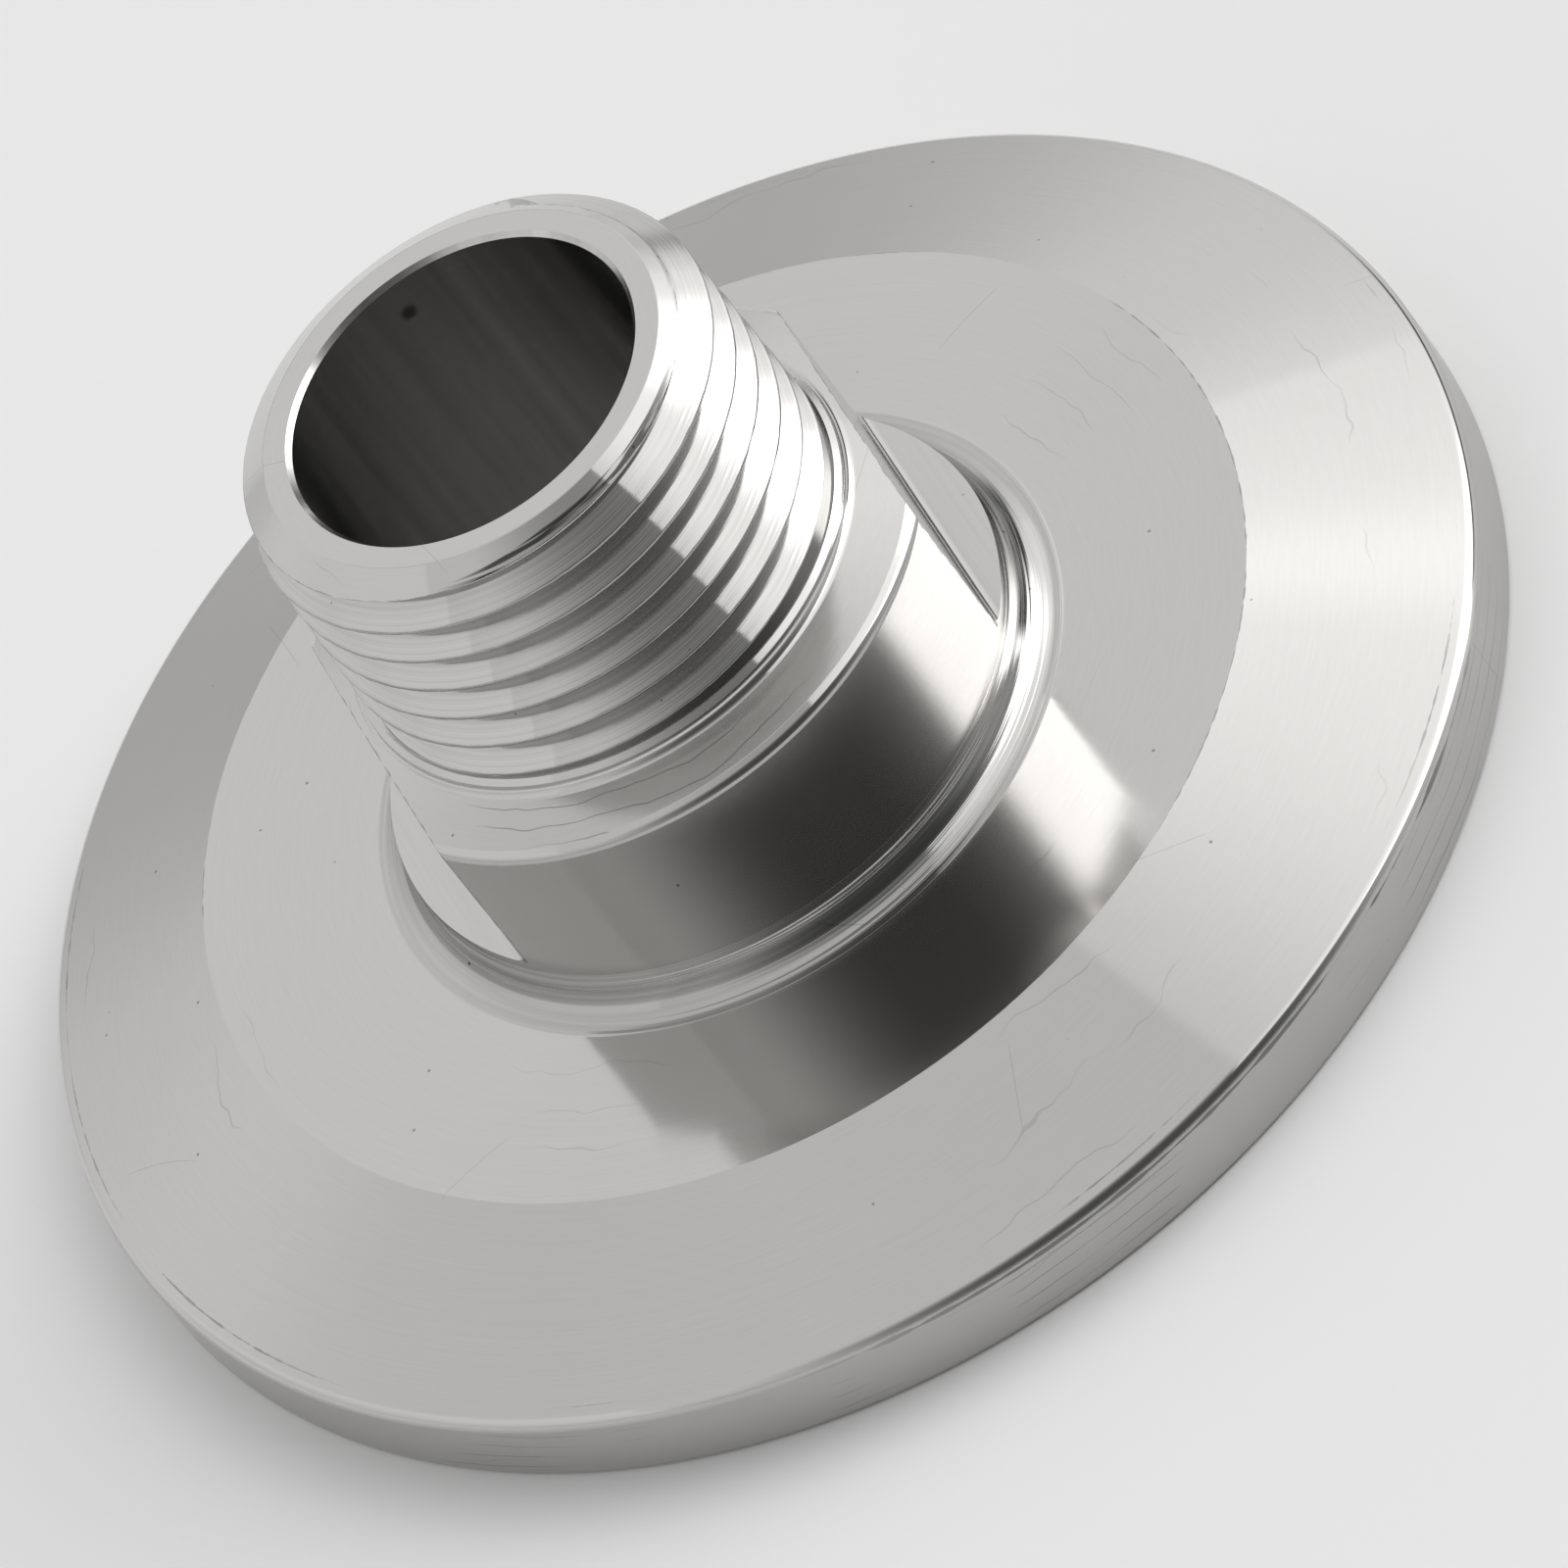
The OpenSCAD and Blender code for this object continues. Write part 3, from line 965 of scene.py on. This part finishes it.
# the lit corner on the right, and a straight edge of light on the left
behind_right = overlap(level_over("Y", 0.0, 0.40), level_over("X", -0.40, -0.70))
corner_edge = math(sky, "MULTIPLY_ADD", beyond_plane((0.731, 0.357, 0.582), 0.012), 0.62, 0.38)
walls = math(sky, "MULTIPLY_ADD", overlap(behind_right, corner_edge), corner_light, walls)
left_edge = overlap(beyond_plane((-0.731, -0.560, -0.389), 0.008), level_over("Y", -0.5, -0.6))
walls = math(sky, "MULTIPLY_ADD", left_edge, left_light, walls)

# the dark of the room round the camera
level = mixed(cap((0.80, 0.15, 0.58), 10, 56), walls, dark_level)

# the lamp's panel, brighter towards the right and brightest low down
lamp = math(sky, "MULTIPLY_ADD", level_over("Y", 0.10, 0.50), lamp_right_light, lamp_level)
low_lamp = overlap(level_over("Z", 0.80, 0.66), level_over("X", -0.55, -0.20))
lamp = math(sky, "MULTIPLY_ADD", low_lamp, lamp_low_light, lamp)
panel = overlap(
    beyond_plane((-0.251, 0.950, -0.186), 0.006),
    level_over("Y", -0.05, 0.05),
    beyond_plane((-0.909, 0.004, 0.417), 0.05),
    level_over("X", -0.80, -0.52),
)
level = mixed(panel, level, lamp)

# the dark edge of the table behind the part
table_edge = overlap(
    level_over("Y", 0.45, 0.65),
    level_over("X", 0.0, -0.15),
    level_over("X", -0.85, -0.70),
    level_over("Z", 0.26, 0.14),
)
level = mixed(table_edge, level, table_edge_level)
level = math(sky, "MULTIPLY", level, room_gain)
light = node(sky, "ShaderNodeBackground", {"Color": (1, 1, 1, 1), "Strength": level})
node(sky, "ShaderNodeOutputWorld", {"Surface": light.outputs[0]})
bpy.context.scene.world = room

# Camera. It looks down on the part from the front with a long lens and is rolled to the right,
# so that the axis leans to the left of the picture.
aim = Vector((0.876, -6.366, 7.480)) * MM
distance = 689.5 * MM
roll = radians(-37.88)
lens = bpy.data.cameras.new("camera")
lens.sensor_width = 36
lens.lens = 398.25
lens.clip_start = 0.01
away = Vector((
    cos(view_azimuth) * cos(view_elevation),
    sin(view_azimuth) * cos(view_elevation),
    sin(view_elevation),
))
camera = bpy.data.objects.new("camera", lens)
bpy.context.scene.collection.objects.link(camera)
upright = away.to_track_quat("Z", "Y").to_matrix()
camera.matrix_world = Matrix.Translation(aim + away * distance) @ (
    upright @ Matrix.Rotation(roll, 3, "Z")
).to_4x4()
bpy.context.scene.camera = camera
bpy.context.scene.view_settings.view_transform = "Standard"
